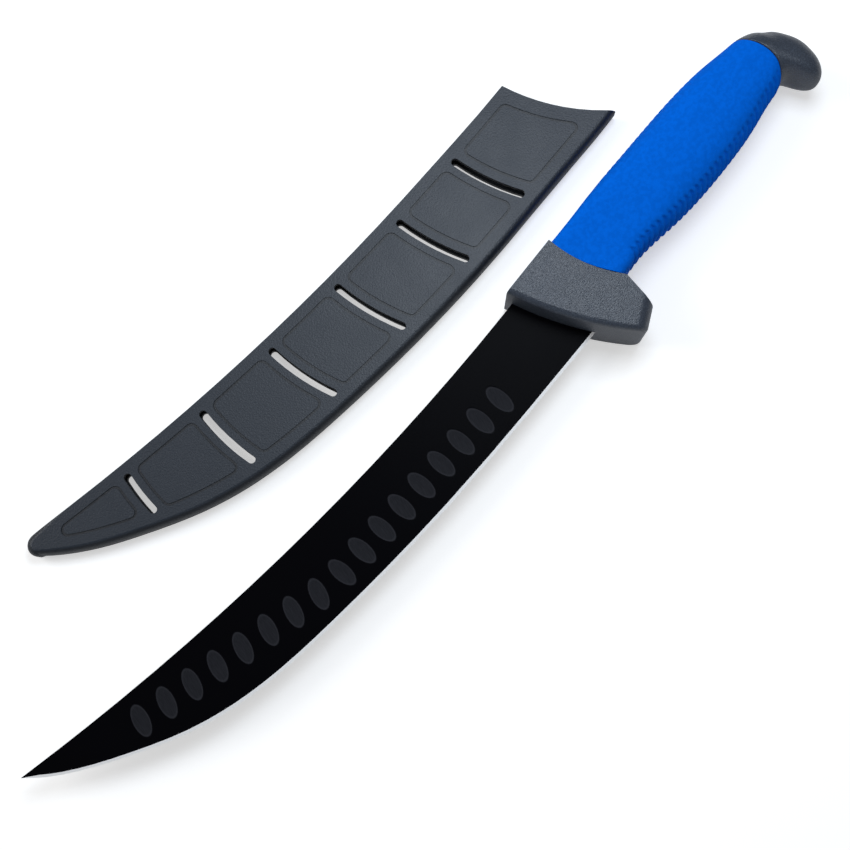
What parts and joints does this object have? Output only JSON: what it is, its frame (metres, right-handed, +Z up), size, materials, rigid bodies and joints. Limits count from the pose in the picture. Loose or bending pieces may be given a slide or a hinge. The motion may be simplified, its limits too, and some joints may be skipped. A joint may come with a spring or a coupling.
{
  "type": "fillet knife with sheath",
  "caption": "Fillet knife with an upswept, hollow-ground black blade, hard grey guard and butt and a soft blue grip, lying beside its slotted moulded sheath.",
  "frame": {"origin": "middle of the underside of the whole layout, on the surface that the knife and the sheath lie on", "axes": "+X along the blade's chord from the tip to the butt, +Y from the cutting edge to the spine, where the sheath lies, +Z up"},
  "size_m": [0.3976, 0.1146, 0.03],
  "materials": {
    "coated_steel": "satin black non-stick coat with a bare cutting bevel",
    "core_plastic": "fine spark-eroded grain",
    "grip_rubber": "matt, softly pebbled",
    "sheath_plastic": "fine moulded grain"
  },
  "bodies": {
    "knife": {"blade": "coated_steel", "handle_core": "core_plastic", "grip": "grip_rubber"},
    "sheath": {"sheath_front": "sheath_plastic", "sheath_back": "sheath_plastic"}
  },
  "joints": [
    {"name": "sheath_slide", "type": "slide", "parent": "knife", "child": "sheath", "axis": [-1, 0, 0], "range_m": [0, 0.316]}
  ]
}
